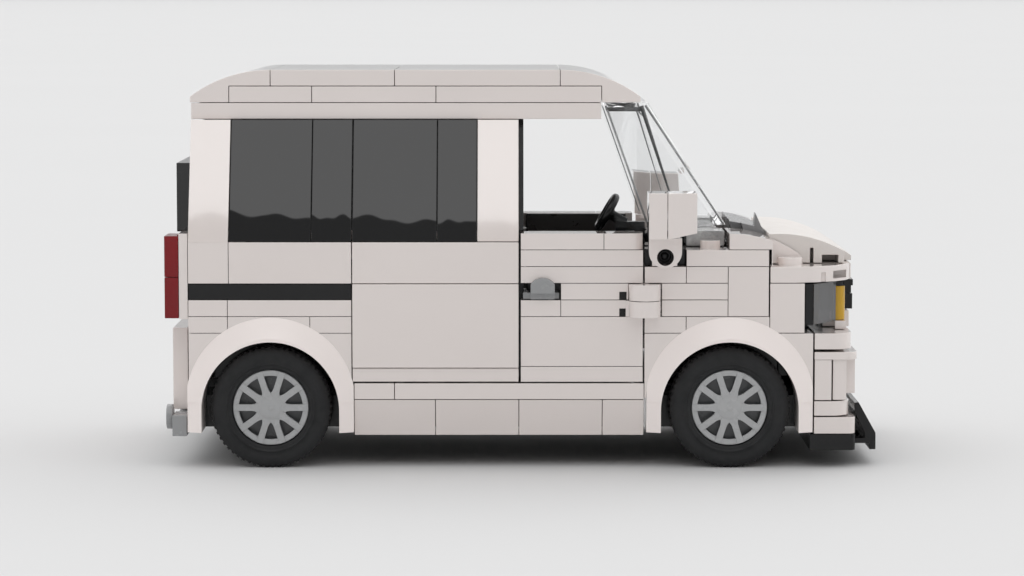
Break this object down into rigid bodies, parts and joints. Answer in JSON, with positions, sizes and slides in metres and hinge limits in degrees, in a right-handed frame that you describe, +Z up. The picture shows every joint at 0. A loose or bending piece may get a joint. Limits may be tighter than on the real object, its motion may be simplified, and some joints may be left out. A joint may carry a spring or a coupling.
{
  "type": "brick-built toy kei van",
  "caption": "Small toy van built of interlocking plastic bricks, with a box body, dark side windows, clear windscreen, hinged front doors, lifting tailgate and free wheels.",
  "frame": {"origin": "on the ground, under the middle of the overall length and width", "axes": "+X to the front of the van, +Y to its left side, +Z up"},
  "size_m": [0.1368, 0.0804, 0.0761],
  "materials": {
    "white_plastic": "gloss",
    "black_plastic": "gloss",
    "dark_grey_plastic": "gloss",
    "grey_plastic": "gloss",
    "clear_plastic": "gloss",
    "smoke_plastic": "gloss",
    "amber_plastic": "gloss",
    "red_plastic": "gloss",
    "tyre_rubber": "matt"
  },
  "bodies": {
    "body": {"base_plate": "black_plastic", "front_axle_plate": "black_plastic", "rear_axle_plate": "black_plastic", "wheel_wells": "black_plastic", "rocker_panels": "white_plastic", "sill_strips": "white_plastic", "front_arches": "white_plastic", "rear_arches": "white_plastic", "rear_quarters": "white_plastic", "door_tracks": "black_plastic", "rear_quarter_windows": "black_plastic", "sliding_doors": "white_plastic", "sliding_door_windows": "black_plastic", "side_frames": "black_plastic", "front_fenders": "white_plastic", "roof_plates": "white_plastic", "roof_tiles": "white_plastic", "roof_slopes": "white_plastic", "windscreen": "clear_plastic", "dashboard": "black_plastic", "steering_wheel": "black_plastic", "front_seats": "dark_grey_plastic", "bonnet": "white_plastic", "fender_slopes": "white_plastic", "cowl_vents": "dark_grey_plastic", "nose_panels": "white_plastic", "front_frame": "black_plastic", "headlights": "smoke_plastic", "indicators": "amber_plastic", "grille": "black_plastic", "front_bumper": "white_plastic", "splitter": "black_plastic", "tail_lights": "red_plastic", "rear_bumper": "grey_plastic", "mirror_arms": "white_plastic", "mirror_shells": "white_plastic", "hinge_bases": "white_plastic"},
    "right_door": {"right_door_panel": "white_plastic", "right_door_handle": "grey_plastic", "right_door_lining": "dark_grey_plastic"},
    "left_door": {"left_door_panel": "white_plastic", "left_door_handle": "grey_plastic", "left_door_lining": "dark_grey_plastic"},
    "tailgate": {"tailgate_panel": "white_plastic", "tailgate_window": "black_plastic"},
    "front_right_wheel": {"front_right_tyre": "tyre_rubber", "front_right_rim": "dark_grey_plastic", "front_right_cover": "grey_plastic"},
    "front_left_wheel": {"front_left_tyre": "tyre_rubber", "front_left_rim": "dark_grey_plastic", "front_left_cover": "grey_plastic"},
    "rear_right_wheel": {"rear_right_tyre": "tyre_rubber", "rear_right_rim": "dark_grey_plastic", "rear_right_cover": "grey_plastic"},
    "rear_left_wheel": {"rear_left_tyre": "tyre_rubber", "rear_left_rim": "dark_grey_plastic", "rear_left_cover": "grey_plastic"}
  },
  "joints": [
    {"name": "right_door_hinge", "type": "hinge", "parent": "body", "child": "right_door", "pos_m": [0.02347, -0.033, 0.0324], "axis": [0, 0, 1], "range_deg": [0, 70]},
    {"name": "left_door_hinge", "type": "hinge", "parent": "body", "child": "left_door", "pos_m": [0.02347, 0.033, 0.0324], "axis": [0, 0, -1], "range_deg": [0, 70]},
    {"name": "tailgate_hinge", "type": "hinge", "parent": "body", "child": "tailgate", "pos_m": [-0.06198, 0, 0.065], "axis": [0, 1, 0], "range_deg": [0, 80]},
    {"name": "front_right_wheel_spin", "type": "hinge", "parent": "body", "child": "front_right_wheel", "pos_m": [0.03988, -0.0285, 0.0116], "axis": [0, 1, 0], "continuous": true},
    {"name": "front_left_wheel_spin", "type": "hinge", "parent": "body", "child": "front_left_wheel", "pos_m": [0.03988, 0.0285, 0.0116], "axis": [0, 1, 0], "continuous": true},
    {"name": "rear_right_wheel_spin", "type": "hinge", "parent": "body", "child": "rear_right_wheel", "pos_m": [-0.04813, -0.0285, 0.0116], "axis": [0, 1, 0], "continuous": true},
    {"name": "rear_left_wheel_spin", "type": "hinge", "parent": "body", "child": "rear_left_wheel", "pos_m": [-0.04813, 0.0285, 0.0116], "axis": [0, 1, 0], "continuous": true}
  ]
}
